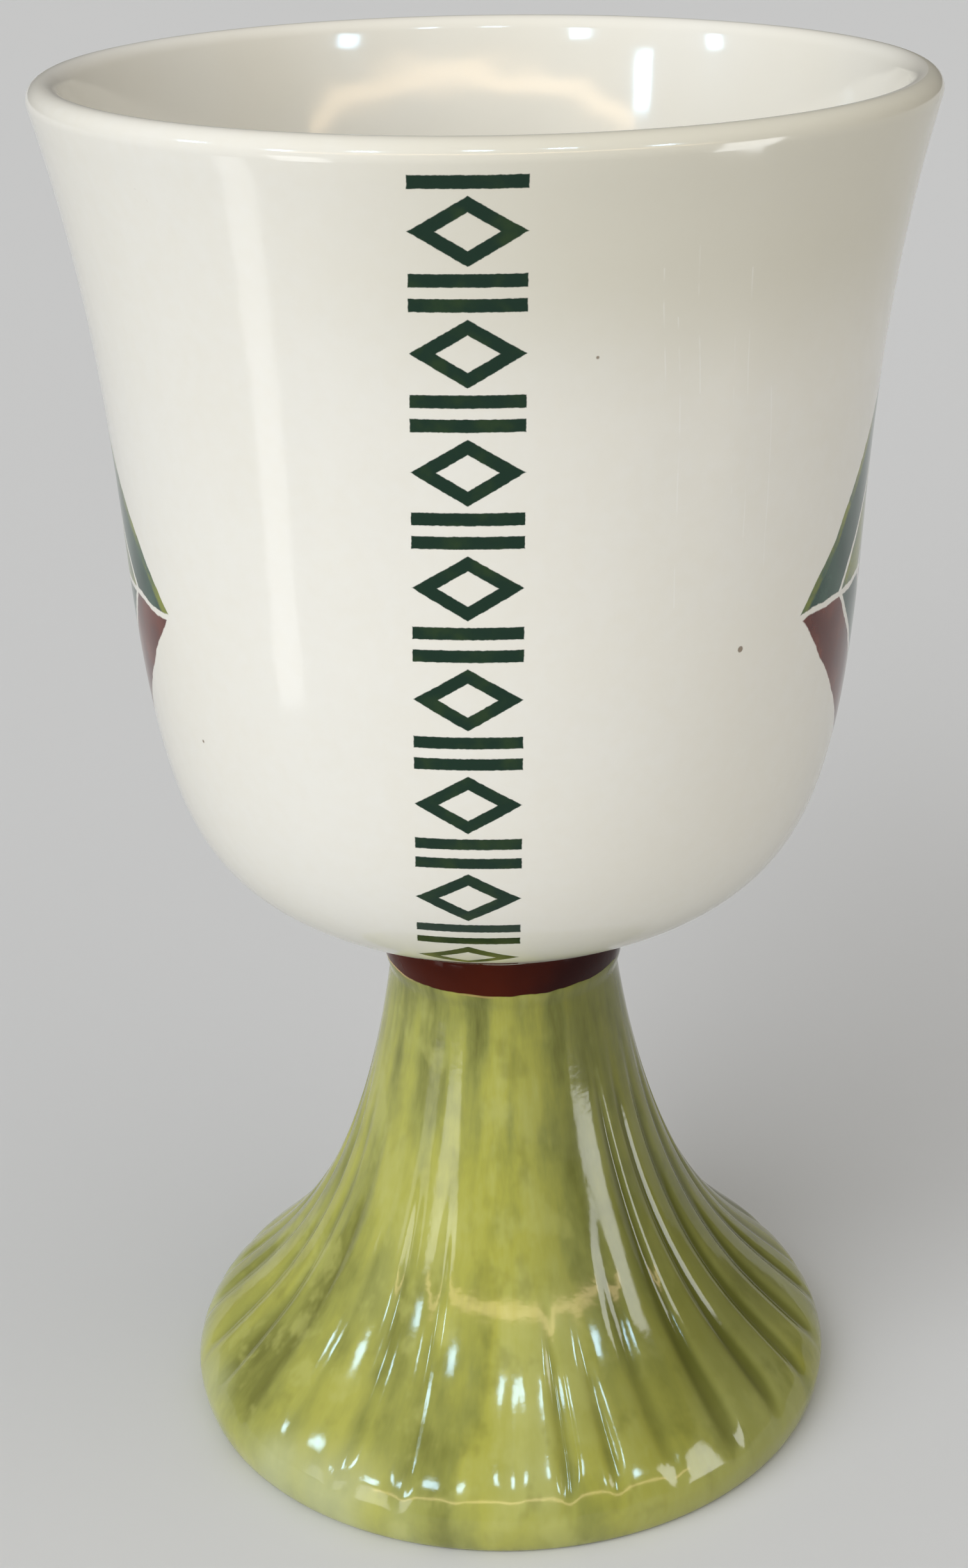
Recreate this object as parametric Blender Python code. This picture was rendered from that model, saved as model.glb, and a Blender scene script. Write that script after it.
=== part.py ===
"""Ceramic goblet: a cast bowl on a flared, fluted and hollow foot.

Bowl, collar and foot are one casting, so they are one solid. Its outline is turned
about the Z axis from three smooth curves, and the flutes are pressed into the foot.
Metres, +Z up, with the origin at the centre of the foot's underside.
"""

import math

import bmesh
import bpy

# Heights, each measured from the level that its comment names.
FOOT_HEIGHT = 0.0593      # underside to the lower edge of the collar
COLLAR_HEIGHT = 0.0041    # lower edge of the collar to the underside of the bowl
BELLY_HEIGHT = 0.0416     # underside of the bowl to where its side stands up
SIDE_HEIGHT = 0.0569      # from there to the crest of the rim
EDGE_HEIGHT = 0.0036      # underside to the widest level of the foot
NECK_DROP = 0.0023        # how far the narrowest level lies below the collar

# Outside radii at those levels.
FOOT_RADIUS = 0.03985
NECK_RADIUS = 0.0137
COLLAR_RADIUS = 0.0142
BELLY_RADIUS = 0.0407
RIM_RADIUS = 0.0478

# Walls. The rim is a half round of the bowl's wall.
BOWL_WALL = 0.0036
FOOT_WALL = 0.0046
FLOOR_THICKNESS = 0.0070  # between the inside of the bowl and the hollow of the foot
DOME_HEIGHT = 0.0100      # the rounded top of the hollow in the foot

# Rounding of the foot's standing ring.
EDGE_INSET = 0.0013
INNER_EDGE_ROUND = 0.0007

# Directions of the outline, in degrees.
UNDERSIDE_RISE = 29.0     # bowl's underside, above the horizontal
BELLY_SPLAY = 4.5         # bowl's side at the belly, off the vertical
RIM_SPLAY = 15.0          # bowl's side at the rim, off the vertical

# Flutes, pressed by hand and so uneven. Each front groove has its azimuth, in degrees
# from the front (the -Y side) and positive to the right, its share of the full depth and
# the height it reaches. Behind, their places and shares follow a formula.
FRONT_GROOVES = (
    (-80, 1.00, 0.048), (-68.5, 0.90, 0.046), (-57, 0.75, 0.044), (-45, 0.60, 0.040),
    (-33, 0.80, 0.040), (-20, 0.75, 0.038), (-10, 0.40, 0.022), (0, 0.40, 0.022),
    (9, 1.00, 0.030), (18, 0.80, 0.026), (29.5, 0.70, 0.034), (43, 1.20, 0.054),
    (55, 1.15, 0.054), (67.5, 1.25, 0.052), (80, 1.20, 0.050),
)
BACK_GROOVE_COUNT = 16
BACK_SPACING_WOBBLE = 1.2  # degrees
BACK_SHARE = 0.90
BACK_SHARE_WOBBLE = 0.15
BACK_TOP = 0.0520
FLUTE_DEPTH = 0.0005      # full depth at the foot's widest radius
FLUTE_TAPER = 0.6         # how fast the flutes get shallower as the foot gets slimmer
FLUTE_SHARPNESS = 3.0     # above 1 the grooves are narrower than the ribs
FLUTE_START = 0.0035      # height where the flutes begin
FLUTE_FULL = 0.0100       # height where they have their whole depth
FLUTE_FADE = 0.0160       # length over which they die out towards their tops

# How finely the outline is divided.
STEPS_PER_FLUTE = 4
FLARE_STEPS = 11
BELLY_STEPS = 8
SIDE_STEPS = 5
LIP_STEPS = 5
EDGE_STEPS = 2
DOME_STEPS = 3
FLOOR_STEPS = 2

COLLAR_BOTTOM = FOOT_HEIGHT
COLLAR_TOP = COLLAR_BOTTOM + COLLAR_HEIGHT
BELLY_LEVEL = COLLAR_TOP + BELLY_HEIGHT
RIM_LEVEL = BELLY_LEVEL + SIDE_HEIGHT
NECK_LEVEL = COLLAR_BOTTOM - NECK_DROP

BOWL_GLAZE, COLLAR_GLAZE, FOOT_GLAZE = range(3)


def smoothstep(low, high, value):
    share = min(max((value - low) / (high - low), 0.0), 1.0)
    return share * share * (3.0 - 2.0 * share)


def curve(start, start_handle, end_handle, end, steps):
    """Points (radius, height) and outward unit normals along a cubic Bezier curve.

    The curve runs upwards, so its outward side is on its right.
    """
    points = []
    for step in range(steps + 1):
        t = step / steps
        s = 1.0 - t
        place = []
        slope = []
        for a, b, c, d in zip(start, start_handle, end_handle, end):
            place.append(s**3 * a + 3 * s * s * t * b + 3 * s * t * t * c + t**3 * d)
            slope.append(s * s * (b - a) + 2 * s * t * (c - b) + t * t * (d - c))
        length = math.hypot(*slope)
        points.append((tuple(place), (slope[1] / length, -slope[0] / length)))
    return points


def flare_curve():
    """The foot's outside, from its widest level up to the neck."""
    width = FOOT_RADIUS - NECK_RADIUS
    height = NECK_LEVEL - EDGE_HEIGHT
    low = (FOOT_RADIUS - 0.067 * width, EDGE_HEIGHT + 0.178 * height)
    high = (NECK_RADIUS + 0.249 * width, EDGE_HEIGHT + 0.174 * height)
    return curve((FOOT_RADIUS, EDGE_HEIGHT), low, high, (NECK_RADIUS, NECK_LEVEL), FLARE_STEPS)


def belly_curve():
    """The bowl's outside, from the collar up to the belly."""
    start = (COLLAR_RADIUS, COLLAR_TOP)
    end = (BELLY_RADIUS, BELLY_LEVEL)
    rise = math.radians(UNDERSIDE_RISE)
    splay = math.radians(BELLY_SPLAY)
    out = 0.66 * (BELLY_RADIUS - COLLAR_RADIUS)
    down = 0.82 * BELLY_HEIGHT
    low = (start[0] + out, start[1] + out * math.tan(rise))
    high = (end[0] - down * math.tan(splay), end[1] - down)
    return curve(start, low, high, end, BELLY_STEPS)


def lip_centre():
    return (RIM_RADIUS - BOWL_WALL / 2, RIM_LEVEL - BOWL_WALL / 2)


def side_curve():
    """The bowl's outside, from the belly up to the lip."""
    splay = math.radians(RIM_SPLAY)
    centre = lip_centre()
    end = (centre[0] + BOWL_WALL / 2 * math.cos(splay), centre[1] - BOWL_WALL / 2 * math.sin(splay))
    start = (BELLY_RADIUS, BELLY_LEVEL)
    up = 0.19 * SIDE_HEIGHT
    down = 0.40 * SIDE_HEIGHT
    low = (start[0] + up * math.tan(math.radians(BELLY_SPLAY)), start[1] + up)
    high = (end[0] - down * math.tan(splay), end[1] - down)
    return curve(start, low, high, end, SIDE_STEPS)


def arc(centre, radii, first_angle, last_angle, steps):
    """Points on an ellipse's arc, in degrees, both ends included."""
    points = []
    for step in range(steps + 1):
        angle = math.radians(first_angle + (last_angle - first_angle) * step / steps)
        across = centre[0] + radii[0] * math.cos(angle)
        height = centre[1] + radii[1] * math.sin(angle)
        points.append((across, height))
    return points


def inside_of(points, wall):
    return [(place[0] - wall * normal[0], place[1] - wall * normal[1]) for place, normal in points]


def bowl_inside():
    """The inside of the bowl from just below the lip to its floor, and the floor's height.

    The wall is as thick everywhere as at the rim, and the floor is a shallow dish that
    carries on the wall's slope to the axis.
    """
    outside = belly_curve() + side_curve()[1:]
    wall = inside_of(outside, BOWL_WALL)
    wall.reverse()
    wall = wall[1:]
    join = wall[-1]
    floor = join[1] - join[0] * math.tan(math.radians(UNDERSIDE_RISE)) / 2
    for step in range(1, FLOOR_STEPS):
        share = 1.0 - step / FLOOR_STEPS
        wall.append((join[0] * share, floor + (join[1] - floor) * share * share))
    return wall, floor


def foot_hollow(floor):
    """The hollow of the foot from its domed top down to the standing ring, and its top."""
    top = floor - FLOOR_THICKNESS
    spring = top - DOME_HEIGHT
    wall = inside_of(flare_curve(), FOOT_WALL)
    below = [point for point in wall if point[1] < spring]
    above = [point for point in wall if point[1] >= spring]
    share = (spring - below[-1][1]) / (above[0][1] - below[-1][1])
    radius = below[-1][0] + (above[0][0] - below[-1][0]) * share
    dome = arc((0.0, spring), (radius, DOME_HEIGHT), 90, 0, DOME_STEPS)[1:]
    below.reverse()
    inner = below[-1][0]
    edge_centre = (inner + INNER_EDGE_ROUND, INNER_EDGE_ROUND)
    edge = arc(edge_centre, (INNER_EDGE_ROUND, INNER_EDGE_ROUND), 180, 270, 1)
    return dome + below + edge, top


def all_grooves():
    """Azimuth in degrees, depth share and top of each groove, going right from the leftmost."""
    grooves = list(FRONT_GROOVES)
    first = FRONT_GROOVES[0][0]
    last = FRONT_GROOVES[-1][0]
    step = (360.0 - (last - first)) / (BACK_GROOVE_COUNT + 1)
    for index in range(1, BACK_GROOVE_COUNT + 1):
        wobble = BACK_SPACING_WOBBLE * math.sin(2.3 * index)
        share = BACK_SHARE + BACK_SHARE_WOBBLE * math.sin(1.7 * index)
        grooves.append((last + step * index + wobble, share, BACK_TOP))
    return grooves


def divisions():
    """One (azimuth in radians, groove depth share, groove top) for each upright line."""
    grooves = all_grooves()
    grooves.append((grooves[0][0] + 360.0, *grooves[0][1:]))
    lines = []
    for groove, following in zip(grooves, grooves[1:]):
        for step in range(STEPS_PER_FLUTE):
            way = step / STEPS_PER_FLUTE
            azimuth = math.radians(groove[0] + (following[0] - groove[0]) * way)
            nearer = groove if way < 0.5 else following
            press = (math.cos(math.pi * way) ** 2) ** FLUTE_SHARPNESS
            lines.append((azimuth, nearer[1] * press, nearer[2]))
    return lines


def flute_strength(radius, height):
    """Depth of a full groove at this place on the flare."""
    begin = smoothstep(FLUTE_START, FLUTE_FULL, height)
    return FLUTE_DEPTH * (radius / FOOT_RADIUS) ** FLUTE_TAPER * begin


def add_ring(mesh, lines, place, normal=(0.0, 0.0), strength=0.0):
    """A ring of vertices at (radius, height), pressed in along the normal at the grooves."""
    ring = []
    for azimuth, depth, top in lines:
        press = strength * depth * (1.0 - smoothstep(top - FLUTE_FADE, top, place[1]))
        radius = place[0] - normal[0] * press
        height = place[1] - normal[1] * press
        ring.append(mesh.verts.new((radius * math.sin(azimuth), -radius * math.cos(azimuth), height)))
    return ring


def join_rings(mesh, lower, upper, glaze):
    """Faces between two rings, going up the outside. The coarser ring has half the vertices."""
    count = len(lower)
    for index in range(count):
        following = (index + 1) % count
        if len(upper) == count:
            corners = [lower[index], lower[following], upper[following], upper[index]]
        elif index % 2 == 0:
            corners = [lower[index], lower[following], upper[index // 2]]
        else:
            top = (index // 2 + 1) % len(upper)
            corners = [lower[index], lower[following], upper[top], upper[index // 2]]
        mesh.faces.new(corners).material_index = glaze


def close_ring(mesh, ring, height, glaze, upwards):
    """A fan from the ring to a point on the axis."""
    tip = mesh.verts.new((0.0, 0.0, height))
    for index in range(len(ring)):
        corners = [ring[index], ring[(index + 1) % len(ring)], tip]
        if not upwards:
            corners.reverse()
        mesh.faces.new(corners).material_index = glaze


def glaze_material(name, colour, roughness):
    material = bpy.data.materials.new(name)
    material.use_nodes = True
    shader = material.node_tree.nodes["Principled BSDF"]
    shader.inputs["Base Color"].default_value = (*colour, 1.0)
    shader.inputs["Roughness"].default_value = roughness
    shader.inputs["Metallic"].default_value = 0.0
    material.diffuse_color = (*colour, 1.0)
    return material


def build_goblet():
    mesh = bmesh.new()
    fine = divisions()
    coarse = fine[::2]
    inside, floor = bowl_inside()
    hollow, roof = foot_hollow(floor)

    # The hollow of the foot, from its domed top down to the standing ring.
    rings = [add_ring(mesh, coarse, place) for place in hollow]
    close_ring(mesh, rings[0], roof, FOOT_GLAZE, upwards=False)
    for upper, lower in zip(rings, rings[1:]):
        join_rings(mesh, upper, lower, FOOT_GLAZE)
    hollow_edge = rings[-1]

    # The rounded outer edge of the foot and the fluted flare, up to the neck.
    edge_centre = (FOOT_RADIUS - EDGE_INSET, EDGE_HEIGHT)
    edge = arc(edge_centre, (EDGE_INSET, EDGE_HEIGHT), -90, 0, EDGE_STEPS)[:-1]
    rings = [add_ring(mesh, fine, place) for place in edge]
    for place, normal in flare_curve():
        rings.append(add_ring(mesh, fine, place, normal, flute_strength(*place)))
    for lower, upper in zip(rings, rings[1:]):
        join_rings(mesh, lower, upper, FOOT_GLAZE)
    standing = rings[0]
    neck = rings[-1]

    # The flat standing ring, between the two edges.
    count = len(standing)
    for index in range(0, count, 2):
        near = hollow_edge[index // 2]
        far = hollow_edge[(index // 2 + 1) % len(hollow_edge)]
        middle = standing[index + 1]
        mesh.faces.new([near, middle, standing[index]]).material_index = FOOT_GLAZE
        corners = [near, far, standing[(index + 2) % count], middle]
        mesh.faces.new(corners).material_index = FOOT_GLAZE

    # The collar, then the bowl's outside with the half-round lip, and its inside.
    collar = add_ring(mesh, coarse, (COLLAR_RADIUS, COLLAR_BOTTOM))
    join_rings(mesh, neck, collar, FOOT_GLAZE)
    outside = [place for place, normal in belly_curve() + side_curve()[1:]]
    lip_radii = (BOWL_WALL / 2, BOWL_WALL / 2)
    lip = arc(lip_centre(), lip_radii, -RIM_SPLAY, 180 - RIM_SPLAY, LIP_STEPS)[1:]
    rings = [add_ring(mesh, coarse, place) for place in outside + lip + inside]
    join_rings(mesh, collar, rings[0], COLLAR_GLAZE)
    for lower, upper in zip(rings, rings[1:]):
        join_rings(mesh, lower, upper, BOWL_GLAZE)
    close_ring(mesh, rings[-1], floor, BOWL_GLAZE, upwards=True)

    data = bpy.data.meshes.new("goblet")
    mesh.to_mesh(data)
    mesh.free()
    data.materials.append(glaze_material("bowl glaze", (0.78, 0.75, 0.66), 0.15))
    data.materials.append(glaze_material("collar glaze", (0.11, 0.012, 0.004), 0.12))
    data.materials.append(glaze_material("foot glaze", (0.22, 0.24, 0.06), 0.18))
    data.shade_smooth()
    data.set_sharp_from_angle(angle=math.radians(50))
    goblet = bpy.data.objects.new("goblet", data)
    bpy.context.scene.collection.objects.link(goblet)
    return goblet


for old in list(bpy.data.objects):
    bpy.data.objects.remove(old, do_unlink=True)
build_goblet()
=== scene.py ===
"""Looks of the ceramic goblet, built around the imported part.

One glazed casting: a cream bowl with a printed band and a painted panel on each side,
a red-brown collar and a fluted foot brushed with green glaze. The mesh is in metres,
and the maps that carry the decoration are in millimetres.
"""

import math

import bpy
import numpy as np
from mathutils import Matrix, Vector


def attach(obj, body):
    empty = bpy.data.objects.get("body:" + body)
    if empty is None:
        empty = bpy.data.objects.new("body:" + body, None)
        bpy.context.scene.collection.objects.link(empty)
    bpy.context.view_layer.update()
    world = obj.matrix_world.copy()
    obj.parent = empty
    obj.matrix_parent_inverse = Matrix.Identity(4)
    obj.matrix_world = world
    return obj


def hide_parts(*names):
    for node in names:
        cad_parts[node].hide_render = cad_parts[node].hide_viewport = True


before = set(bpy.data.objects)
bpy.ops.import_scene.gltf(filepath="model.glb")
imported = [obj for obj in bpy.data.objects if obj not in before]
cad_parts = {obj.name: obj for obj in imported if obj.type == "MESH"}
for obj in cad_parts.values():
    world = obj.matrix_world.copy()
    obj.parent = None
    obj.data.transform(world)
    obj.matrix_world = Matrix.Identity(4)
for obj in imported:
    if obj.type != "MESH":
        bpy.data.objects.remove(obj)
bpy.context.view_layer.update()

MM = 0.001

# The outline, as in the part. Heights first, each from the level below it.
FOOT_HEIGHT = 59.3 * MM
COLLAR_HEIGHT = 4.1 * MM
BELLY_HEIGHT = 41.6 * MM
SIDE_HEIGHT = 56.9 * MM
EDGE_HEIGHT = 3.6 * MM
NECK_DROP = 2.3 * MM
FOOT_RADIUS = 39.85 * MM
NECK_RADIUS = 13.7 * MM
COLLAR_RADIUS = 14.2 * MM
BELLY_RADIUS = 40.7 * MM
RIM_RADIUS = 47.8 * MM
BOWL_WALL = 3.6 * MM
FOOT_WALL = 4.6 * MM
FLOOR_THICKNESS = 7.0 * MM
DOME_HEIGHT = 10.0 * MM
EDGE_INSET = 1.3 * MM
INNER_EDGE_ROUND = 0.7 * MM
UNDERSIDE_RISE = math.radians(29.0)
BELLY_SPLAY = math.radians(4.5)
RIM_SPLAY = math.radians(15.0)

COLLAR_BOTTOM = FOOT_HEIGHT
COLLAR_TOP = COLLAR_BOTTOM + COLLAR_HEIGHT
BELLY_LEVEL = COLLAR_TOP + BELLY_HEIGHT
RIM_LEVEL = BELLY_LEVEL + SIDE_HEIGHT
NECK_LEVEL = COLLAR_BOTTOM - NECK_DROP

# Flutes, as in the part. Each front groove has its azimuth in degrees from the front,
# positive to the right, its share of the full depth and the height it reaches in mm.
FRONT_GROOVES = (
    (-80, 1.00, 48), (-68.5, 0.90, 46), (-57, 0.75, 44), (-45, 0.60, 40),
    (-33, 0.80, 40), (-20, 0.75, 38), (-10, 0.40, 22), (0, 0.40, 22),
    (9, 1.00, 30), (18, 0.80, 26), (29.5, 0.70, 34), (43, 1.20, 54),
    (55, 1.15, 54), (67.5, 1.25, 52), (80, 1.20, 50),
)
BACK_GROOVE_COUNT = 16
FLUTES = len(FRONT_GROOVES) + BACK_GROOVE_COUNT
BACK_SPACING_WOBBLE = 1.2
BACK_SHARE = 0.90
BACK_SHARE_WOBBLE = 0.15
BACK_TOP = 52
FLUTE_DEPTH = 0.5                # in millimetres
FLUTE_TAPER = 0.6
FLUTE_SHARPNESS = 3.0
FLUTE_START = 3.5 * MM
FLUTE_FULL = 10.0 * MM
FLUTE_SCALLOP = 1.8 * MM         # how much higher a rib starts than the groove beside it
FLUTE_FADE = 16.0 * MM
FLUTE_DRIFT = math.radians(0.8)  # how far a groove wanders sideways on its way up
FLUTE_DRIFT_LENGTH = 11.0 * MM
FLUTE_DRIFT_TURNS = 8

# Unevenness of the hand-finished casting.
BOWL_WAVE = 0.06 * MM
COLLAR_SWELL = 0.22 * MM

# How finely the mesh is divided.
STEPS_PER_FLUTE = 16
EDGE_STEPS = 6
FLARE_STEPS = 64
COLLAR_STEPS = 14
BELLY_STEPS = 40
SIDE_STEPS = 34
LIP_STEPS = 14
FLOOR_STEPS = 7
DOME_STEPS = 7
HOLLOW_STEPS = 24

# Camera, found from the rim's and the foot's ellipses in the photograph.
IMAGE_HEIGHT = 2449
FOCAL_PIXELS = 4000.0
CAMERA_DISTANCE = 276.6 * MM
CAMERA_HEIGHT = 198.0 * MM
CAMERA_PITCH = math.radians(22.99)
CAMERA_YAW = math.radians(1.13)
CAMERA_ROLL = math.radians(-0.71)
SENSOR = 36.0
CENTRE_RIGHT_PIXELS = 97.67
CENTRE_DOWN_PIXELS = -9.72

# The printed band on the front, in millimetres along the surface. It starts below the
# crest of the rim and runs down to the underside of the bowl.
BAND_TOP = 3.6
BAND_CELL = 11.9
BAND_CELLS = 9
BAND_HALF_WIDTH = 5.5
BAND_STROKE = 1.32
BAND_OFFSET = -1.7
BAND_TILT = -0.023
BAR_GAP = 1.1
LOZENGE_HALF_HEIGHT = 3.4

# The painted panel on each side: a lozenge of nested bands, green above and red-brown
# below, in millimetres, with the azimuth of each in degrees.
LEFT_AZIMUTH = -97.0
RIGHT_AZIMUTH = 90.0
PANEL_MIDDLE = 54.0        # distance of its middle below the crest of the rim
PANEL_HALF_WIDTH = 28.5
PANEL_HALF_HEIGHT = 30.0
PANEL_OUTLINE = 1.1
PANEL_GAP = 0.7
PANEL_STEPS = (7.2, 13.2)  # how far in the second band and the heart begin
PANEL_DOT = 1.5
PANEL_DOT_GAP = 5.0

# Colours, linear.
CREAM = (0.80, 0.79, 0.735)
CREAM_WARM = (0.785, 0.765, 0.690)
CREAM_PAINTED_SHADE = (0.660, 0.635, 0.530)
INK = (0.002, 0.024, 0.011)
INK_EDGE = (0.040, 0.075, 0.010)
TEAL = (0.006, 0.045, 0.028)
TEAL_LIGHT = (0.035, 0.090, 0.062)
LEAF_EDGE = (0.20, 0.23, 0.02)
BROWN = (0.085, 0.010, 0.004)
BROWN_LIGHT = (0.15, 0.030, 0.014)
COLLAR_RED = (0.065, 0.0070, 0.0006)
COLLAR_DARK = (0.022, 0.002, 0.001)
PAINTED_BEAD_HIGHLIGHT = (0.62, 0.40, 0.16)
FOOT_DARK = (0.098, 0.104, 0.017)
FOOT_OLIVE = (0.255, 0.268, 0.060)
FOOT_YELLOW = (0.375, 0.375, 0.070)
FOOT_PALE = (0.450, 0.460, 0.140)
FOOT_MILKY = (0.300, 0.325, 0.135)
FOOT_REFLECTION_PAINT = (0.480, 0.520, 0.330)
BISCUIT = (0.60, 0.50, 0.36)
SPECK = (0.16, 0.10, 0.05)
SCRATCH = (0.90, 0.90, 0.88)
GLOSS = 0.36
COLLAR_GLOSS = 0.12
POLISH = 0.07
FLOOR_COLOUR = (0.68, 0.69, 0.70)

# The foot's greens, from the thickest glaze to the thinnest, and how far each brush mark
# is drawn out upwards.
BRUSH_STOPS = ((0.34, FOOT_DARK), (0.45, FOOT_OLIVE), (0.55, FOOT_YELLOW), (0.69, FOOT_PALE))
BRUSH_STRETCH = 0.012

# Depth of the orange peel and of the slow ripples in the glaze.
BOWL_PEEL = 0.003 * MM
BOWL_RIPPLE = 0.07 * MM
LINING_RIPPLE = 0.12 * MM
FOOT_PEEL = 0.022 * MM
FOOT_RIPPLE = 0.15 * MM
HOLLOW_PEEL = 0.02 * MM
HOLLOW_RIPPLE = 0.10 * MM

# Under the foot: how high the bare ring reaches and the radius where the green begins.
BARE_HEIGHT = 0.55
GREEN_START = 33.0

# Small dark inclusions in the bowl's glaze: azimuth, height in mm, radius in mm.
SPECKS = ((37.1, 108.2, 0.34), (13.0, 141.0, 0.16), (-52.0, 96.0, 0.18), (128.0, 118.0, 0.30),
          (-141.0, 131.0, 0.22), (171.0, 92.0, 0.26))
SPECK_SOFT = 0.12

# A short fibre fired into the glaze near the rim, with its two ends as azimuth and height.
FIBRE_ENDS = ((-45.6, 155.4), (-43.6, 154.3))
FIBRE_ARCH = 1.2 * MM
FIBRE_RADIUS = 0.07
FIBRE_SOFT = 0.08

# Faint upright scratches on the right of the front, as millimetres along the surface from
# the front line, then their upper and lower ends below the rim's crest.
SCRATCHES = ((16.6, 14.0, 31.0), (18.1, 19.0, 49.0), (20.3, 12.0, 27.0), (24.4, 21.0, 38.0),
             (26.2, 15.0, 44.0), (29.3, 24.0, 52.0))
SCRATCH_HALF_WIDTH = 0.06
SCRATCH_SOFT = 0.10

PAINT_SOFT = 0.15   # width of a painted edge, in millimetres
BAND_SOFT = 0.09    # width of a printed one
FAR_BELOW = 500.0   # a distance below the rim where nothing is painted
FLOOR_REACH = 4.0

# Colours of the light, and the strength of the light from all around.
DAYLIGHT = (0.97, 0.985, 1.0)
WARM = (1.0, 0.94, 0.85)
TAN = (1.0, 0.72, 0.42)
LAMPLIGHT = (0.50, 0.76, 1.0)
AMBIENT = 0.14

# Far, wide sources of even light: azimuth, elevation and spread in degrees, then strength
# and colour.
SKY_LIGHTS = {
    "key": (-42, 27, 55, 2.36, (0.98, 0.99, 1.0)),
    "fill_right": (60, 12, 90, 1.15, WARM),
    "overhead": (0, 84, 90, 0.80, (1.0, 1.0, 1.0)),
}

# Bright panels that the glaze mirrors: the place each one faces, its azimuth, elevation
# and distance from there, then its size, radiance and colour.
BOWL_LEFT = (-0.022, -0.037, 0.13)
NECK_FRONT = (0.0, -0.015, 0.035)
FOOT_FRONT = (0.0, -0.03, 0.015)
WINDOWS = {
    "window_low": (BOWL_LEFT, -69, -27, 0.2, (0.032, 0.06), 2.2, DAYLIGHT),
    "window_right": (NECK_FRONT, 64, 8, 0.32, (0.085, 0.20), 8.0, DAYLIGHT),
    "window_left": (NECK_FRONT, -45, 1, 0.32, (0.08, 0.15), 5.0, DAYLIGHT),
    "shelf": (FOOT_FRONT, 5, 29, 0.9, (2.2, 0.045), 10.0, TAN),
}

# Small lamps in the room, as azimuth and elevation in degrees from the foot's front.
LAMPS = ((-78, 30), (-52, 26), (-32, 38), (-3, 47), (21, 48), (45, 34))
LAMP_DISTANCE = 0.9
LAMP_SIZE = (0.075, 0.090)
LAMP_RADIANCE = 32.0

BOWL_OUTSIDE, BOWL_INSIDE, FOOT_OUTSIDE, COLLAR, FOOT_INSIDE = range(5)


def smoothstep(low, high, value):
    share = np.clip((value - low) / (high - low), 0.0, 1.0)
    return share * share * (3.0 - 2.0 * share)


def bezier(start, low, high, end, steps):
    """Points (radius, height) and outward normals of a cubic curve that runs upwards."""
    t = np.linspace(0.0, 1.0, steps + 1)[:, None]
    s = 1.0 - t
    start, low, high, end = (np.array(point, float) for point in (start, low, high, end))
    points = s**3 * start + 3 * s * s * t * low + 3 * s * t * t * high + t**3 * end
    slope = s * s * (low - start) + 2 * s * t * (high - low) + t * t * (end - high)
    slope /= np.linalg.norm(slope, axis=1)[:, None]
    return points, np.column_stack([slope[:, 1], -slope[:, 0]])


def ellipse_arc(centre, radii, first, last, steps):
    angle = np.radians(np.linspace(first, last, steps + 1))
    return np.array(centre) + np.column_stack([np.cos(angle), np.sin(angle)]) * np.array(radii)


def flare_run(steps):
    """The foot's outside, from its widest level up to the neck."""
    width = FOOT_RADIUS - NECK_RADIUS
    height = NECK_LEVEL - EDGE_HEIGHT
    low = (FOOT_RADIUS - 0.067 * width, EDGE_HEIGHT + 0.178 * height)
    high = (NECK_RADIUS + 0.249 * width, EDGE_HEIGHT + 0.174 * height)
    return bezier((FOOT_RADIUS, EDGE_HEIGHT), low, high, (NECK_RADIUS, NECK_LEVEL), steps)


def collar_run(steps):
    """The top of the neck and the slightly swollen collar."""
    height = np.linspace(NECK_LEVEL, COLLAR_TOP, steps + 1)
    step = smoothstep(NECK_LEVEL, COLLAR_BOTTOM, height)
    radius = NECK_RADIUS + (COLLAR_RADIUS - NECK_RADIUS) * step
    share = np.clip((height - COLLAR_BOTTOM) / COLLAR_HEIGHT, 0.0, 1.0)
    return np.column_stack([radius + COLLAR_SWELL * np.sin(math.pi * share), height])


def belly_run(steps):
    """The bowl's outside, from the collar up to the belly."""
    out = 0.66 * (BELLY_RADIUS - COLLAR_RADIUS)
    down = 0.82 * BELLY_HEIGHT
    low = (COLLAR_RADIUS + out, COLLAR_TOP + out * math.tan(UNDERSIDE_RISE))
    high = (BELLY_RADIUS - down * math.tan(BELLY_SPLAY), BELLY_LEVEL - down)
    return bezier((COLLAR_RADIUS, COLLAR_TOP), low, high, (BELLY_RADIUS, BELLY_LEVEL), steps)


def lip_centre():
    return np.array([RIM_RADIUS - BOWL_WALL / 2, RIM_LEVEL - BOWL_WALL / 2])


def side_run(steps):
    """The bowl's outside, from the belly up to the lip."""
    end = lip_centre() + BOWL_WALL / 2 * np.array([math.cos(RIM_SPLAY), -math.sin(RIM_SPLAY)])
    up = 0.19 * SIDE_HEIGHT
    down = 0.40 * SIDE_HEIGHT
    low = (BELLY_RADIUS + up * math.tan(BELLY_SPLAY), BELLY_LEVEL + up)
    high = (end[0] - down * math.tan(RIM_SPLAY), end[1] - down)
    return bezier((BELLY_RADIUS, BELLY_LEVEL), low, high, end, steps)


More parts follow.
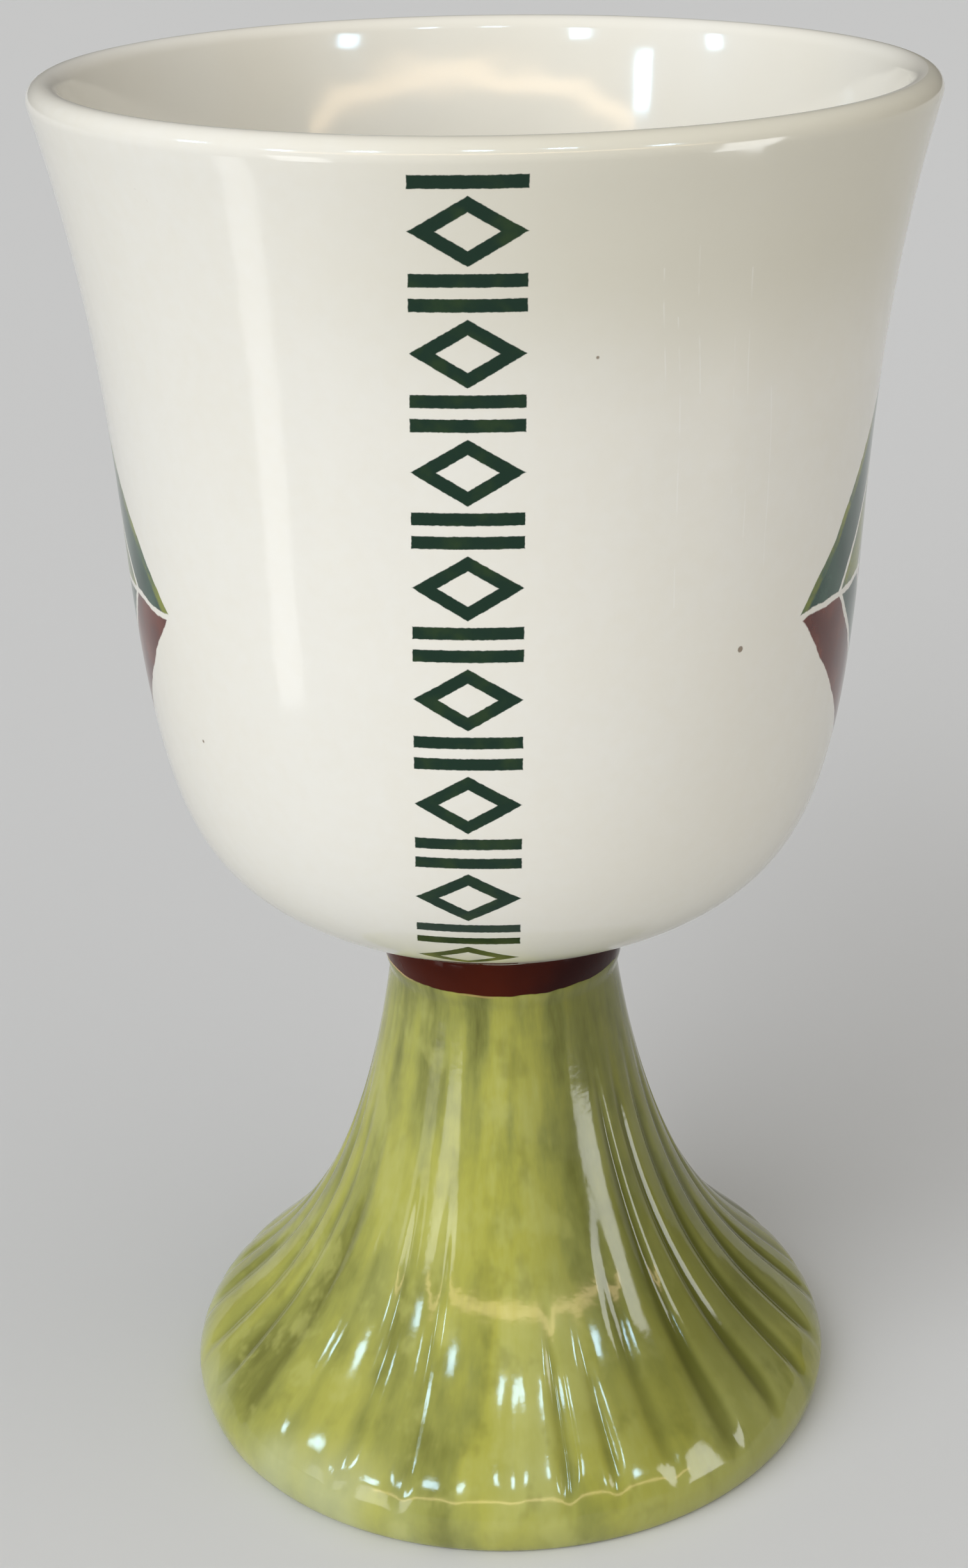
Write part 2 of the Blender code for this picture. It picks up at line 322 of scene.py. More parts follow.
def flute_lines(steps):
    """Azimuth, place along the flutes, groove depth share and top of each upright line."""
    grooves = list(FRONT_GROOVES)
    last = grooves[-1][0]
    gap = (360.0 - (last - grooves[0][0])) / (BACK_GROOVE_COUNT + 1)
    for index in range(1, BACK_GROOVE_COUNT + 1):
        azimuth = last + gap * index + BACK_SPACING_WOBBLE * math.sin(2.3 * index)
        share = BACK_SHARE + BACK_SHARE_WOBBLE * math.sin(1.7 * index)
        grooves.append((azimuth, share, BACK_TOP))
    angles, shares, tops = np.array(grooves, float).T[:, :, None]
    angles = np.radians(angles)
    following = np.roll(angles, -1)
    following[-1] += 2 * math.pi
    share = np.arange(steps)[None, :] / steps
    azimuth = angles + (following - angles) * share
    nearer = np.where(share < 0.5, shares, np.roll(shares, -1))
    depth = nearer * (np.cos(math.pi * share) ** 2) ** FLUTE_SHARPNESS
    top = np.where(share < 0.5, tops, np.roll(tops, -1)) * MM
    place = np.arange(len(grooves))[:, None] + share
    return np.column_stack([azimuth.ravel(), place.ravel(), depth.ravel(), top.ravel()])


class Turned:
    """Rings of vertices about the Z axis, with the faces between them."""

    def __init__(self):
        self.places = []
        self.marks = []
        self.rings = []
        self.faces = []
        self.slots = []
        self.total = 0

    def add(self, slot, lines, radius, height, travel=FAR_BELOW, drift=0.0, depth=0.0):
        """Adds a ring and joins it to the one before.

        travel is the ring's distance below the rim's crest, along the surface, and depth
        how deep its flutes are pressed, both in millimetres.
        """
        azimuth = lines[:, 0] + drift
        columns = [azimuth, radius, height, travel, lines[:, 1], depth]
        azimuth, radius, height, travel, place, depth = np.broadcast_arrays(*columns)
        x = radius * np.sin(azimuth)
        y = -radius * np.cos(azimuth)
        self.places.append(np.column_stack([x, y, height]))
        self.marks.append(np.column_stack([azimuth, radius, travel, place, depth]))
        self.rings.append((self.total, len(lines)))
        self.total += len(lines)
        if len(self.rings) > 1:
            self.join(slot)

    def join(self, slot):
        """Faces between the last two rings, where one may have twice the other's vertices."""
        (low, count), (high, other) = self.rings[-2:]
        steps = max(count, other)
        for index in range(steps):
            after = (index + 1) % steps
            a = low + index * count // steps
            b = low + after * count // steps
            c = high + after * other // steps
            d = high + index * other // steps
            corners = []
            for corner in (a, b, c, d):
                if corner not in corners:
                    corners.append(corner)
            self.faces.append(tuple(corners))
            self.slots.append(slot)

    def cap(self, height, slot, ring=-1):
        """A fan from a ring to a point on the axis, facing up, or down from the first ring."""
        first, count = self.rings[ring]
        self.places.append(np.array([[0.0, 0.0, height]]))
        self.marks.append(np.array([[0.0, 0.0, FAR_BELOW, 0.0, 0.0]]))
        for index in range(count):
            corners = (first + index, first + (index + 1) % count, self.total)
            self.faces.append(corners[::-1] if ring == 0 else corners)
            self.slots.append(slot)
        self.total += 1


def bowl_wave(azimuth, height):
    """The slight unevenness of the bowl, always inwards and nil at the collar."""
    rise = smoothstep(COLLAR_TOP, BELLY_LEVEL, height)
    slow = np.sin(2 * azimuth + 0.7 + 40.0 * height)
    quick = np.sin(5 * azimuth - 1.3 - 65.0 * height)
    return BOWL_WAVE * rise * (0.65 * slow + 0.35 * quick - 1.0)


def add_hollow(mesh, lines, roof):
    """The hollow of the foot, from its domed top down to the standing ring."""
    spring = roof - DOME_HEIGHT
    points, normals = flare_run(HOLLOW_STEPS)
    wall = points - FOOT_WALL * normals
    radius = float(np.interp(spring, wall[:, 1], wall[:, 0]))
    dome = ellipse_arc((0.0, spring), (radius, DOME_HEIGHT), 90, 0, DOME_STEPS)[1:]
    wall = wall[wall[:, 1] < spring][::-1]
    centre = (wall[-1][0] + INNER_EDGE_ROUND, INNER_EDGE_ROUND)
    edge = ellipse_arc(centre, (INNER_EDGE_ROUND, INNER_EDGE_ROUND), 180, 270, EDGE_STEPS)
    for radius, height in np.vstack([dome, wall, edge]):
        mesh.add(FOOT_INSIDE, lines, radius, height)
    mesh.cap(roof, FOOT_INSIDE, ring=0)


def add_foot(mesh, lines):
    """The rounded edge and the fluted flare."""
    centre = (FOOT_RADIUS - EDGE_INSET, EDGE_HEIGHT)
    edge = ellipse_arc(centre, (EDGE_INSET, EDGE_HEIGHT), -90, 0, EDGE_STEPS)[:-1]
    mesh.add(FOOT_INSIDE, lines, *edge[0])
    for radius, height in edge[1:]:
        mesh.add(FOOT_OUTSIDE, lines, radius, height)
    turns = 2 * math.pi * FLUTE_DRIFT_TURNS * lines[:, 1] / FLUTES
    groove = lines[:, 2]
    top = lines[:, 3]
    scallop = FLUTE_SCALLOP * (1.0 - np.minimum(groove / BACK_SHARE, 1.0))
    for (radius, height), normal in zip(*flare_run(FLARE_STEPS)):
        begin = smoothstep(FLUTE_START, FLUTE_FULL, height - scallop)
        end = 1.0 - smoothstep(top - FLUTE_FADE, top, height)
        depth = FLUTE_DEPTH * groove * begin * end * (radius / FOOT_RADIUS) ** FLUTE_TAPER
        wander = np.sin(height / FLUTE_DRIFT_LENGTH + turns)
        calm = 1.0 - smoothstep(NECK_LEVEL - FLUTE_FADE, NECK_LEVEL, height)
        drift = FLUTE_DRIFT * calm * smoothstep(EDGE_HEIGHT, FLUTE_FULL, height) * wander
        press = depth * MM
        ring = (radius - normal[0] * press, height - normal[1] * press)
        mesh.add(FOOT_OUTSIDE, lines, *ring, drift=drift, depth=depth)


def add_bowl(mesh, lines):
    """The bowl's outside, its half-round lip and its inside."""
    belly, belly_normals = belly_run(BELLY_STEPS)
    side, side_normals = side_run(SIDE_STEPS)
    outside = np.vstack([belly, side[1:]])
    normals = np.vstack([belly_normals, side_normals[1:]])
    splay = math.degrees(RIM_SPLAY)
    lip_radii = (BOWL_WALL / 2, BOWL_WALL / 2)
    lip = ellipse_arc(lip_centre(), lip_radii, -splay, 180 - splay, LIP_STEPS)[1:]
    crest = int(np.argmax(lip[:, 1])) + 1
    wall = (outside - BOWL_WALL * normals)[::-1][1:]
    floor = bowl_floor()
    share = 1.0 - np.arange(1, FLOOR_STEPS)[:, None] / FLOOR_STEPS
    dish = np.hstack([wall[-1][0] * share, floor + (wall[-1][1] - floor) * share**2])

    outside = np.vstack([outside, lip[:crest]])
    steps = np.linalg.norm(np.diff(outside, axis=0), axis=1)
    travel = np.append(np.cumsum(steps[::-1])[::-1], 0.0) / MM
    slot = COLLAR  # the first ring closes the collar
    for (radius, height), distance in zip(outside, travel):
        swell = bowl_wave(lines[:, 0], height)
        mesh.add(slot, lines, radius + swell, height, distance)
        slot = BOWL_OUTSIDE
    for radius, height in np.vstack([lip[crest:], wall, dish]):
        swell = bowl_wave(lines[:, 0], height)
        mesh.add(BOWL_INSIDE, lines, radius + swell, height)
    mesh.cap(floor, BOWL_INSIDE)


def bowl_floor():
    """Height of the bowl's floor on the axis, where the wall's slope runs out flat."""
    points, normals = belly_run(BELLY_STEPS)
    join = points[0] - BOWL_WALL * normals[0]
    return join[1] - join[0] * math.tan(UNDERSIDE_RISE) / 2


def lay_map(data, name, across, along):
    layer = data.uv_layers.new(name=name)
    layer.data.foreach_set("uv", np.column_stack([across, along]).astype(np.float32).ravel())


def lay_maps(data, mesh):
    """Maps in millimetres for the band on the front and the panels on the sides, and one
    with the place along the flutes and the depth of the grooves."""
    marks = np.vstack(mesh.marks)
    sizes = np.array([len(face) for face in mesh.faces])
    corners = np.concatenate([np.array(face) for face in mesh.faces])
    owners = np.repeat(np.arange(len(sizes)), sizes)
    firsts = (np.cumsum(sizes) - sizes)[owners]
    turn = 2 * math.pi
    azimuth = marks[corners, 0]
    azimuth = azimuth - turn * np.round((azimuth - azimuth[firsts]) / turn)
    middle = (np.bincount(owners, azimuth) / sizes)[owners]
    azimuth = azimuth - turn * np.round(middle / turn)
    middle = middle - turn * np.round(middle / turn)
    radius = marks[corners, 1] / MM
    travel = marks[corners, 2]
    place = marks[corners, 3]
    place = place - FLUTES * np.round((place - place[firsts]) / FLUTES)
    side = np.radians(np.where(middle < 0.0, LEFT_AZIMUTH, RIGHT_AZIMUTH))
    lay_map(data, "Front", azimuth * radius, travel)
    lay_map(data, "Sides", (azimuth - side) * radius, travel)
    lay_map(data, "Flutes", place, marks[corners, 4])


def build_goblet():
    fine = flute_lines(STEPS_PER_FLUTE)
    coarse = fine[::2]
    mesh = Turned()
    add_hollow(mesh, coarse, bowl_floor() - FLOOR_THICKNESS)
    add_foot(mesh, fine)
    for radius, height in collar_run(COLLAR_STEPS)[1:-1]:
        mesh.add(COLLAR if height > COLLAR_BOTTOM else FOOT_OUTSIDE, coarse, radius, height)
    add_bowl(mesh, coarse)
    data = bpy.data.meshes.new("goblet_glazed")
    data.from_pydata(np.vstack(mesh.places).tolist(), [], mesh.faces)
    lay_maps(data, mesh)
    foot = foot_glaze("foot_glaze", GLOSS)
    collar = foot_glaze("collar_glaze", COLLAR_GLOSS)
    for material in (bowl_glaze(), bowl_lining(), foot, collar, foot_underside()):
        data.materials.append(material)
    data.polygons.foreach_set("material_index", mesh.slots)
    data.shade_smooth()
    data.validate()
    goblet = bpy.data.objects.new("goblet_glazed", data)
    bpy.context.scene.collection.objects.link(goblet)
    return goblet


def feed(tree, value, socket):
    """Links a signal or an output to a socket, or sets the socket to a plain value."""
    if isinstance(value, Signal):
        tree.links.new(value.output, socket)
    elif isinstance(value, bpy.types.NodeSocket):
        tree.links.new(value, socket)
    elif isinstance(value, tuple):
        socket.default_value = (*value, 1.0)
    else:
        socket.default_value = value


class Signal:
    """A number that varies over the surface. Arithmetic on it adds Math nodes."""

    def __init__(self, tree, output):
        self.tree = tree
        self.output = output

    def maths(self, operation, *others, clamp=False):
        node = self.tree.nodes.new("ShaderNodeMath")
        node.operation = operation
        node.use_clamp = clamp
        for value, socket in zip((self, *others), node.inputs):
            feed(self.tree, value, socket)
        return Signal(self.tree, node.outputs[0])

    def __add__(self, other):
        return self.maths("ADD", other)

    def __sub__(self, other):
        return self.maths("SUBTRACT", other)

    def __mul__(self, other):
        return self.maths("MULTIPLY", other)

    def __truediv__(self, other):
        return self.maths("DIVIDE", other)

    def __rsub__(self, other):
        return (self * -1.0).maths("ADD", other)

    __radd__ = __add__

    def size(self):
        return self.maths("ABSOLUTE")

    def least(self, other):
        return self.maths("MINIMUM", other)

    def most(self, other):
        return self.maths("MAXIMUM", other)

    def repeat(self, low, high):
        return self.maths("WRAP", high, low)

    def inside(self, soft):
        """1 where the signed distance is below 0, with an edge as wide as soft."""
        return self.maths("MULTIPLY_ADD", -1.0 / soft, 0.5, clamp=True)

    def ramp(self, low, high):
        node = self.tree.nodes.new("ShaderNodeMapRange")
        node.interpolation_type = "SMOOTHSTEP"
        for value, socket in zip((self, low, high), node.inputs):
            feed(self.tree, value, socket)
        return Signal(self.tree, node.outputs[0])


class Glaze:
    """One material with its coordinates, and short ways to add patterns to it."""

    def __init__(self, name):
        self.material = bpy.data.materials.new(name)
        self.material.use_nodes = True
        self.tree = self.material.node_tree
        self.shader = self.tree.nodes["Principled BSDF"]
        self.object = self.tree.nodes.new("ShaderNodeTexCoord").outputs["Object"]
        self.x, self.y, self.z = self.split(self.object)

    def split(self, vector):
        node = self.tree.nodes.new("ShaderNodeSeparateXYZ")
        self.tree.links.new(vector, node.inputs[0])
        return [Signal(self.tree, output) for output in node.outputs]

    def join(self, x, y, z):
        node = self.tree.nodes.new("ShaderNodeCombineXYZ")
        for value, socket in zip((x, y, z), node.inputs):
            feed(self.tree, value, socket)
        return node.outputs[0]

    def drawn_out(self, share):
        """Coordinates that draw a pattern out upwards, the more the smaller the share."""
        return self.join(self.x, self.y, self.z * share)

    def map(self, name):
        node = self.tree.nodes.new("ShaderNodeUVMap")
        node.uv_map = name
        return self.split(node.outputs[0])[:2]

    def noise(self, scale, detail=2.0, vector=None, rough=0.5):
        node = self.tree.nodes.new("ShaderNodeTexNoise")
        node.inputs["Scale"].default_value = scale
        node.inputs["Detail"].default_value = detail
        node.inputs["Roughness"].default_value = rough
        self.tree.links.new(vector or self.object, node.inputs["Vector"])
        return Signal(self.tree, node.outputs[0])

    def mix(self, share, first, second):
        node = self.tree.nodes.new("ShaderNodeMix")
        node.data_type = "RGBA"
        feed(self.tree, share, node.inputs["Factor"])
        feed(self.tree, first, node.inputs[6])
        feed(self.tree, second, node.inputs[7])
        return node.outputs[2]

    def shades(self, share, stops):
        node = self.tree.nodes.new("ShaderNodeValToRGB")
        ramp = node.color_ramp
        while len(ramp.elements) < len(stops):
            ramp.elements.new(0.5)
        for element, (place, colour) in zip(ramp.elements, stops):
            element.position = place
            element.color = (*colour, 1.0)
        feed(self.tree, share, node.inputs[0])
        return node.outputs[0]

    def bump(self, height, distance, normal=None):
        node = self.tree.nodes.new("ShaderNodeBump")
        node.inputs["Distance"].default_value = distance
        feed(self.tree, height, node.inputs["Height"])
        if normal is not None:
            self.tree.links.new(normal, node.inputs["Normal"])
        return node.outputs[0]

    def finish(self, colour, roughness, normal, gloss=GLOSS):
        feed(self.tree, colour, self.shader.inputs["Base Color"])
        feed(self.tree, roughness, self.shader.inputs["Roughness"])
        self.tree.links.new(normal, self.shader.inputs["Normal"])
        self.shader.inputs["Specular IOR Level"].default_value = gloss
        return self.material


def length(*parts):
    """Length of the vector with these parts."""
    total = parts[0] * parts[0]
    for part in parts[1:]:
        total = total + part * part
    return total.maths("SQRT")


def polish(glaze):
    """The slightly uneven roughness of a fired glaze."""
    return POLISH + glaze.noise(150.0, 2.0) * 0.06


def peel(glaze, fine_depth, ripple_depth):
    """The faint orange peel and the slow ripples of a fired glaze."""
    ripples = glaze.bump(glaze.noise(95.0, 1.0), ripple_depth)
    return glaze.bump(glaze.noise(900.0, 2.0), fine_depth, ripples)


def band_ink(glaze):
    """1 where the front band is printed: open lozenges between paired bars."""
    across, travel = glaze.map("Front")
    ragged = (glaze.noise(1900.0, 2.0) - 0.5) * 0.16
    across = across - (travel * BAND_TILT + BAND_OFFSET)
    along = ((travel - BAND_TOP).repeat(0.0, BAND_CELL) - BAND_CELL / 2).size()
    slope = LOZENGE_HALF_HEIGHT / BAND_HALF_WIDTH
    squeeze = math.cos(math.atan(slope))
    outer = (across.size() * slope + along - LOZENGE_HALF_HEIGHT) * squeeze
    lozenge = (outer + BAND_STROKE / 2).size() - BAND_STROKE / 2
    bar = (along - (BAND_CELL - BAR_GAP - BAND_STROKE) / 2).size() - BAND_STROKE / 2
    bar = bar.most(across.size() - BAND_HALF_WIDTH)
    reach = BAND_CELL * BAND_CELLS / 2
    ends = (travel - (BAND_TOP + reach)).size() - reach
    ink = lozenge.least(bar).most(ends) + ragged
    return ink.inside(BAND_SOFT), travel


def paint_panel(glaze, ground):
    """A lozenge of nested bands on each side, brushed green above and red-brown below."""
    across, travel = glaze.map("Sides")
    upwards = PANEL_MIDDLE - travel + (glaze.noise(150.0, 1.0) - 0.5) * 1.2
    ragged = (glaze.noise(900.0, 2.0) - 0.5) * 0.35
    strokes = glaze.noise(300.0, 3.0).ramp(0.35, 0.75)
    slope = PANEL_HALF_HEIGHT / PANEL_HALF_WIDTH
    squeeze = math.cos(math.atan(slope))
    edge = (across.size() * slope + upwards.size() - PANEL_HALF_HEIGHT) * squeeze + ragged
    above = (upwards * -1.0 + ragged).inside(PAINT_SOFT)
    greens = glaze.mix(strokes, TEAL, TEAL_LIGHT)
    yellows = glaze.mix(strokes, LEAF_EDGE, TEAL_LIGHT)
    browns = glaze.mix(strokes, BROWN, BROWN_LIGHT)
    outlined = glaze.mix((edge * -1.0 - PANEL_OUTLINE).inside(0.5) * above, greens, yellows)
    bands = [
        (0.0, glaze.mix(above, browns, outlined)),
        (PANEL_STEPS[0], glaze.mix(above, greens, yellows)),
        (PANEL_STEPS[1], glaze.mix(above, browns, greens)),
    ]
    colour = ground
    for inset, paint in bands:
        colour = glaze.mix((edge + (inset - PANEL_GAP)).inside(PAINT_SOFT), colour, ground)
        colour = glaze.mix((edge + inset).inside(PAINT_SOFT), colour, paint)
    seam = ((upwards + 0.3).size() - PANEL_GAP / 2 + ragged).inside(PAINT_SOFT)
    colour = glaze.mix(seam, colour, ground)
    far = upwards.size() - (PANEL_HALF_HEIGHT + PANEL_DOT_GAP)
    dot = length(across, far) - PANEL_DOT + ragged
    return glaze.mix(dot.inside(PAINT_SOFT), colour, glaze.mix(above, browns, greens))


def bowl_glaze():
    """Cream glaze with its flaws, the painted panels and the printed band."""
    glaze = Glaze("bowl_glaze")
    height = glaze.z / MM
    cloud = glaze.noise(38.0, 3.0)
    grain = glaze.noise(620.0, 2.0)
    ground = glaze.mix((cloud * 0.7 + grain * 0.3).ramp(0.3, 0.7), CREAM, CREAM_WARM)
    ground = glaze.mix(height.ramp(84.0, 66.0) * 0.35, ground, CREAM_WARM)
    # Painted shade under the flare of the rim, towards the right.
    painted_rim_shade = height.ramp(132.0, 150.0) * (glaze.x / MM).ramp(-26.0, 10.0)
    ground = glaze.mix(painted_rim_shade * 0.8, ground, CREAM_PAINTED_SHADE)
    for values in SPECKS:
        ground = glaze.mix(speck(glaze, *values) * 0.8, ground, SPECK)
    ground = glaze.mix(fibre(glaze) * 0.6, ground, SPECK)
    ground = glaze.mix(scratches(glaze) * 0.35, ground, SCRATCH)
    ground = paint_panel(glaze, ground)
    ink, travel = band_ink(glaze)
    worn = travel.ramp(92.0, 112.0) * 0.35
    print_colour = glaze.mix(glaze.noise(300.0, 3.0).ramp(0.45, 0.8) * 0.4 + worn, INK, INK_EDGE)
    ground = glaze.mix(ink, ground, print_colour)
    return glaze.finish(ground, polish(glaze), peel(glaze, BOWL_PEEL, BOWL_RIPPLE))


def on_bowl(azimuth, height):
    """The place on the bowl's outside at an azimuth in degrees and a height in mm."""
    points = np.vstack([belly_run(BELLY_STEPS)[0], side_run(SIDE_STEPS)[0][1:]])
    reach = float(np.interp(height * MM, points[:, 1], points[:, 0]))
    angle = math.radians(azimuth)
    return Vector((reach * math.sin(angle), -reach * math.cos(angle), height * MM))


def speck(glaze, azimuth, height, radius):
    """1 on a round spot of a radius in millimetres."""
    centre = on_bowl(azimuth, height)
    distance = length(glaze.x - centre.x, glaze.y - centre.y, glaze.z - centre.z) / MM
    return (distance - radius).inside(SPECK_SOFT)


def fibre(glaze):
    """1 on the short, slightly arched fibre."""
    first, last = (on_bowl(*end) for end in FIBRE_ENDS)
    way = last - first
    across, depth, rise = glaze.x - first.x, glaze.y - first.y, glaze.z - first.z
    share = (across * way.x + depth * way.y + rise * way.z) / way.length_squared
    bend = share.most(0.0).least(1.0)
    arch = bend * (1.0 - bend) * FIBRE_ARCH
    rise = rise - bend * way.z - arch
    distance = length(across - bend * way.x, depth - bend * way.y, rise) / MM
    return (distance - FIBRE_RADIUS).inside(FIBRE_SOFT)


def scratches(glaze):
    """1 on the faint upright scratches."""
    across, travel = glaze.map("Front")
    across = across + (glaze.noise(60.0, 1.0) - 0.5) * 1.5
    found = None
    for place, top, bottom in SCRATCHES:
        middle = (top + bottom) / 2
        beyond = (travel - middle).size() - (bottom - middle)
        line = ((across - place).size() - SCRATCH_HALF_WIDTH).most(beyond)
        found = line if found is None else found.least(line)
    return found.inside(SCRATCH_SOFT) * glaze.noise(240.0, 2.0).ramp(0.42, 0.60)


def bowl_lining():
    """Plain cream glaze inside, warmer towards the floor."""
    glaze = Glaze("bowl_lining")
    cloud = glaze.noise(32.0, 3.0)
    ground = glaze.mix(cloud.ramp(0.3, 0.7), CREAM, CREAM_WARM)
    ground = glaze.mix(glaze.z.ramp(150.0 * MM, 80.0 * MM) * 0.6, ground, CREAM_WARM)
    return glaze.finish(ground, polish(glaze), peel(glaze, BOWL_PEEL, LINING_RIPPLE))


def foot_glaze(name, gloss):
    """Green glaze brushed along the flutes, and the red-brown collar above it."""
    glaze = Glaze(name)
    radius = length(glaze.x, glaze.y)
    round_x = glaze.x / radius
    round_y = glaze.y / radius
    height = glaze.z / MM
    place, groove = glaze.map("Flutes")
    upwards = glaze.join(round_x, round_y, height * BRUSH_STRETCH)
    streaks = glaze.noise(3.2, 2.0, upwards)
    fine_streaks = glaze.noise(14.0, 3.0, upwards, rough=0.6)
    patches = glaze.noise(60.0, 3.5, rough=0.6)
    brush = streaks * 0.62 + fine_streaks * 0.20 + patches * 0.36 - groove * 0.16 - 0.065
    # Painted shade: the glaze darker towards the neck, under the bowl.
    brush = brush - height.ramp(40.0, 58.0) * 0.06
    ground = glaze.shades(brush, BRUSH_STOPS)

    # Milky clouds, and spots rubbed thin or left thick by the brush.
    milky = glaze.noise(45.0, 2.0, glaze.drawn_out(0.35))
    ground = glaze.mix(milky.ramp(0.45, 0.70) * 0.4, ground, FOOT_MILKY)
    rubbed = glaze.noise(190.0, 3.0, glaze.drawn_out(0.55), rough=0.6)
    ground = glaze.mix(rubbed.ramp(0.52, 0.68) * 0.50, ground, FOOT_PALE)
    ground = glaze.mix(rubbed.ramp(0.47, 0.28) * 0.32, ground, FOOT_DARK)

    # Painted light and shade: paler towards the left, where the light falls, and darker towards the
    # right. Darker in the grooves where the glaze pools, with painted shade deepening them towards
    # the right.
    ground = glaze.mix(round_x.ramp(-0.05, -0.70) * 0.22, ground, FOOT_PALE)
    painted_right_shade = round_x.ramp(-0.10, 0.75) * (height.ramp(4.0, 16.0) * 0.50 + 0.50)
    pool_and_shade = groove.ramp(0.05, 0.45) * (round_x.ramp(-0.35, 0.5) * 0.30 + 0.08)
    ground = glaze.mix(pool_and_shade + painted_right_shade * 0.64, ground, FOOT_DARK)

    # Paler at the lower edge where the glaze runs thin, with a painted reflection on its left.
    thin = (glaze.noise(60.0, 2.0) * 6.0 + height).ramp(10.0, 5.0) * 0.2
    ground = glaze.mix(thin, ground, FOOT_PALE)
    painted_left_reflection = height.ramp(11.0, 6.0) * round_x.ramp(-0.05, -0.35) * milky.ramp(0.35, 0.55)
    ground = glaze.mix(painted_left_reflection * 0.55, ground, FOOT_REFLECTION_PAINT)

    # The collar, in painted shade towards the right, with a broken painted highlight along its lower
    # edge.
    edge = height - COLLAR_BOTTOM / MM + (glaze.noise(260.0, 2.0) - 0.5) * 0.9
    # Darker in random patches, and in painted shade towards the right.
    tone_and_shade = glaze.noise(140.0, 2.0).ramp(0.35, 0.7) * 0.4 + painted_right_shade * 0.9
    reds = glaze.mix(tone_and_shade, COLLAR_RED, COLLAR_DARK)
    line = ((edge + 0.12).size() - 0.13).inside(0.1) * glaze.noise(70.0, 0.0).ramp(0.5, 0.62)
    ground = glaze.mix((edge * -1.0).inside(0.12), ground, reds)
    ground = glaze.mix(line, ground, PAINTED_BEAD_HIGHLIGHT)
    ripples = glaze.bump(streaks, FOOT_RIPPLE)
    fine = glaze.bump(glaze.noise(500.0, 2.5), FOOT_PEEL, ripples)
    return glaze.finish(ground, polish(glaze), fine, gloss)


def foot_underside():
    """Glazed cream in the hollow, with a bare, rough standing ring."""
    glaze = Glaze("foot_underside")
    radius = length(glaze.x, glaze.y) / MM
    bare = (glaze.z / MM - BARE_HEIGHT + (glaze.noise(300.0, 2.0) - 0.5) * 0.5).inside(0.2)
    ground = glaze.mix(glaze.noise(70.0, 3.0).ramp(0.3, 0.7), CREAM, CREAM_WARM)
    green = (radius - GREEN_START + glaze.noise(120.0, 3.0) * 4.0).ramp(0.0, 4.0) * 0.7
    ground = glaze.mix(green, ground, FOOT_PALE)
    ground = glaze.mix(bare, ground, BISCUIT)
    roughness = 0.25 + bare * 0.5
    return glaze.finish(ground, roughness, peel(glaze, HOLLOW_PEEL, HOLLOW_RIPPLE))


def floor_material():
    """A plain matt grey."""
    glaze = Glaze("studio_floor")
    glaze.shader.inputs["Base Color"].default_value = (*FLOOR_COLOUR, 1.0)
    glaze.shader.inputs["Roughness"].default_value = 1.0
    glaze.shader.inputs["Specular IOR Level"].default_value = 0.0
    return glaze.material


def add_floor():
    data = bpy.data.meshes.new("floor")
    reach = FLOOR_REACH
    corners = [(-reach, -reach, 0.0), (reach, -reach, 0.0), (reach, reach, 0.0), (-reach, reach, 0.0)]
    data.from_pydata(corners, [], [(0, 1, 2, 3)])
    data.materials.append(floor_material())
    floor = bpy.data.objects.new("floor", data)
    bpy.context.scene.collection.objects.link(floor)


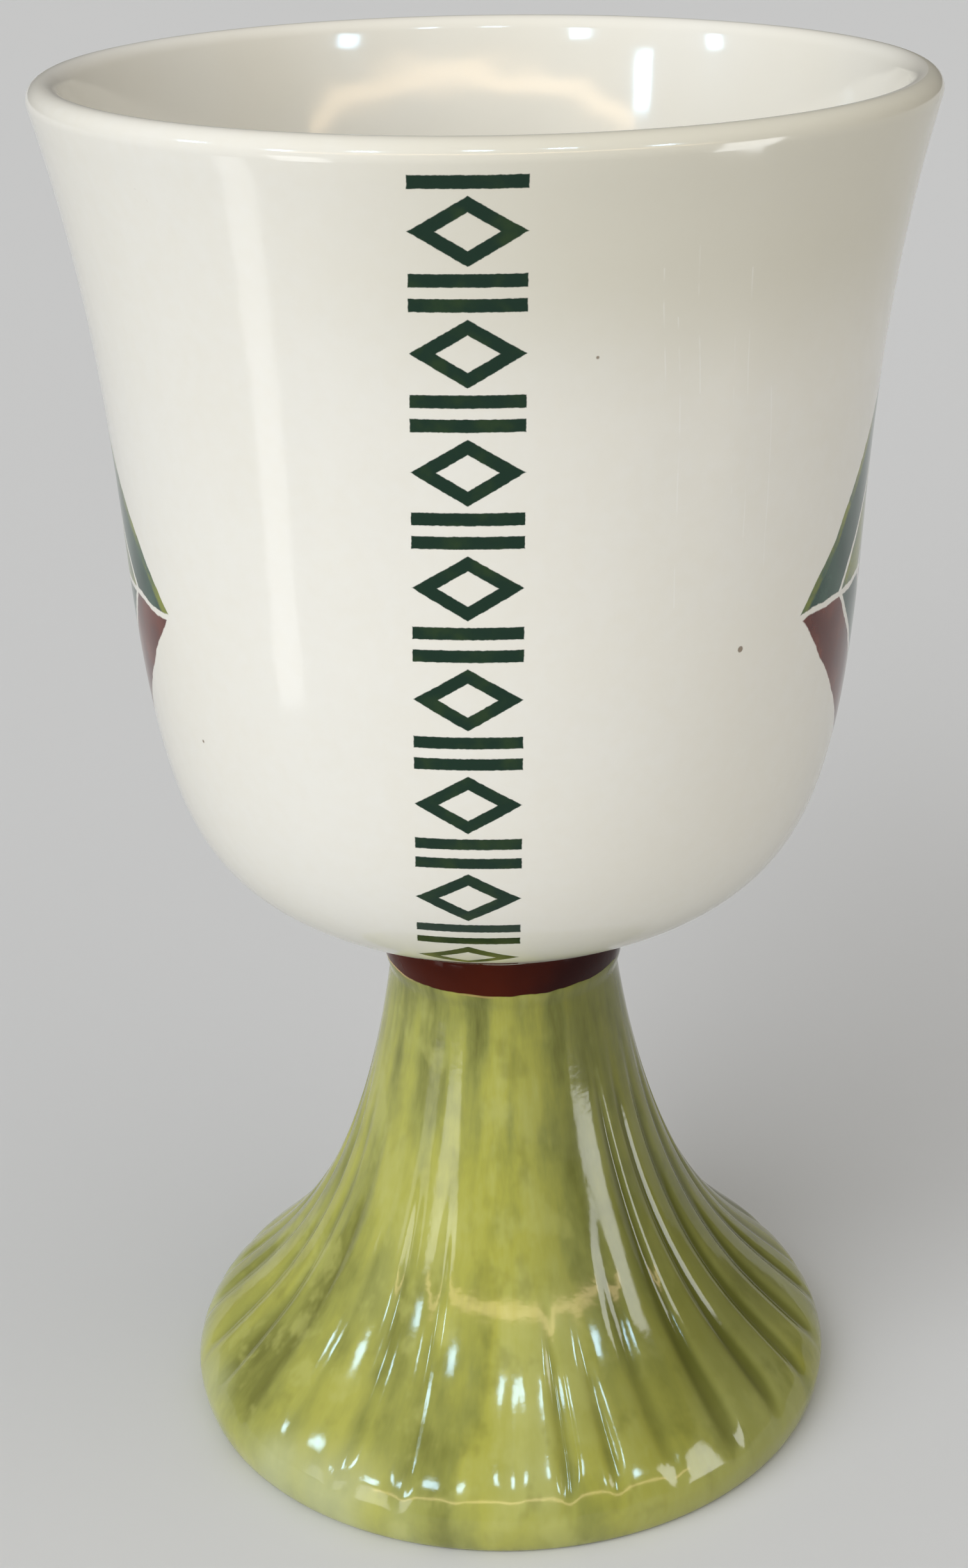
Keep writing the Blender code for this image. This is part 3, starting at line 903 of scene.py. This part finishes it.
def add_camera():
    """Looks down at the goblet as the photograph does, a little off the picture's middle."""
    sine, cosine = math.sin(CAMERA_PITCH), math.cos(CAMERA_PITCH)
    forward = Vector((math.sin(CAMERA_YAW) * cosine, math.cos(CAMERA_YAW) * cosine, -sine))
    level = forward.cross(Vector((0.0, 0.0, 1.0))).normalized()
    upright = level.cross(forward)
    right = level * math.cos(CAMERA_ROLL) + upright * math.sin(CAMERA_ROLL)
    up = upright * math.cos(CAMERA_ROLL) - level * math.sin(CAMERA_ROLL)
    data = bpy.data.cameras.new("camera")
    data.sensor_fit = "VERTICAL"
    data.sensor_height = SENSOR
    data.lens = FOCAL_PIXELS * SENSOR / IMAGE_HEIGHT
    data.shift_x = -CENTRE_RIGHT_PIXELS / IMAGE_HEIGHT
    data.shift_y = CENTRE_DOWN_PIXELS / IMAGE_HEIGHT
    data.clip_start = 0.01
    camera = bpy.data.objects.new("camera", data)
    turn = Matrix((right, up, -forward)).transposed().to_4x4()
    camera.matrix_world = Matrix.Translation((0.0, -CAMERA_DISTANCE, CAMERA_HEIGHT)) @ turn
    bpy.context.scene.collection.objects.link(camera)
    bpy.context.scene.camera = camera


def aimed(azimuth, elevation):
    """Direction from the goblet, with the azimuth from the front and positive to the right."""
    across, up = math.radians(azimuth), math.radians(elevation)
    return Vector((math.sin(across) * math.cos(up), -math.cos(across) * math.cos(up), math.sin(up)))


def place_light(name, data, location, towards, colour):
    data.color = colour
    light = bpy.data.objects.new(name, data)
    light.location = location
    light.rotation_euler = (towards - location).to_track_quat("-Z", "Y").to_euler()
    light.visible_camera = False
    bpy.context.scene.collection.objects.link(light)
    return light


def add_sky_light(name, azimuth, elevation, spread, strength, colour):
    """A far, wide source of even light, which the glaze doesn't mirror."""
    data = bpy.data.lights.new(name, "SUN")
    data.angle = math.radians(spread)
    data.energy = strength
    light = place_light(name, data, aimed(azimuth, elevation), Vector(), colour)
    light.visible_glossy = False


def add_window(name, target, azimuth, elevation, distance, size, radiance, colour):
    """A bright panel that shows only as a reflection, in the glaze around the target."""
    data = bpy.data.lights.new(name, "AREA")
    data.shape = "RECTANGLE"
    data.size, data.size_y = size
    data.energy = radiance * math.pi * size[0] * size[1]
    target = Vector(target)
    light = place_light(name, data, target + aimed(azimuth, elevation) * distance, target, colour)
    light.visible_diffuse = False


def add_lights():
    for name, values in SKY_LIGHTS.items():
        add_sky_light(name, *values)
    for name, values in WINDOWS.items():
        add_window(name, *values)
    for azimuth, elevation in LAMPS:
        place = (FOOT_FRONT, azimuth, elevation, LAMP_DISTANCE)
        add_window(f"lamp_{azimuth}", *place, LAMP_SIZE, LAMP_RADIANCE, LAMPLIGHT)
    world = bpy.context.scene.world or bpy.data.worlds.new("world")
    bpy.context.scene.world = world
    world.use_nodes = True
    background = world.node_tree.nodes["Background"]
    background.inputs["Color"].default_value = (*WARM, 1.0)
    background.inputs["Strength"].default_value = AMBIENT


goblet = build_goblet()
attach(goblet, "root")
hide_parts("goblet")
add_floor()
add_camera()
add_lights()
bpy.context.scene.view_settings.view_transform = "Standard"
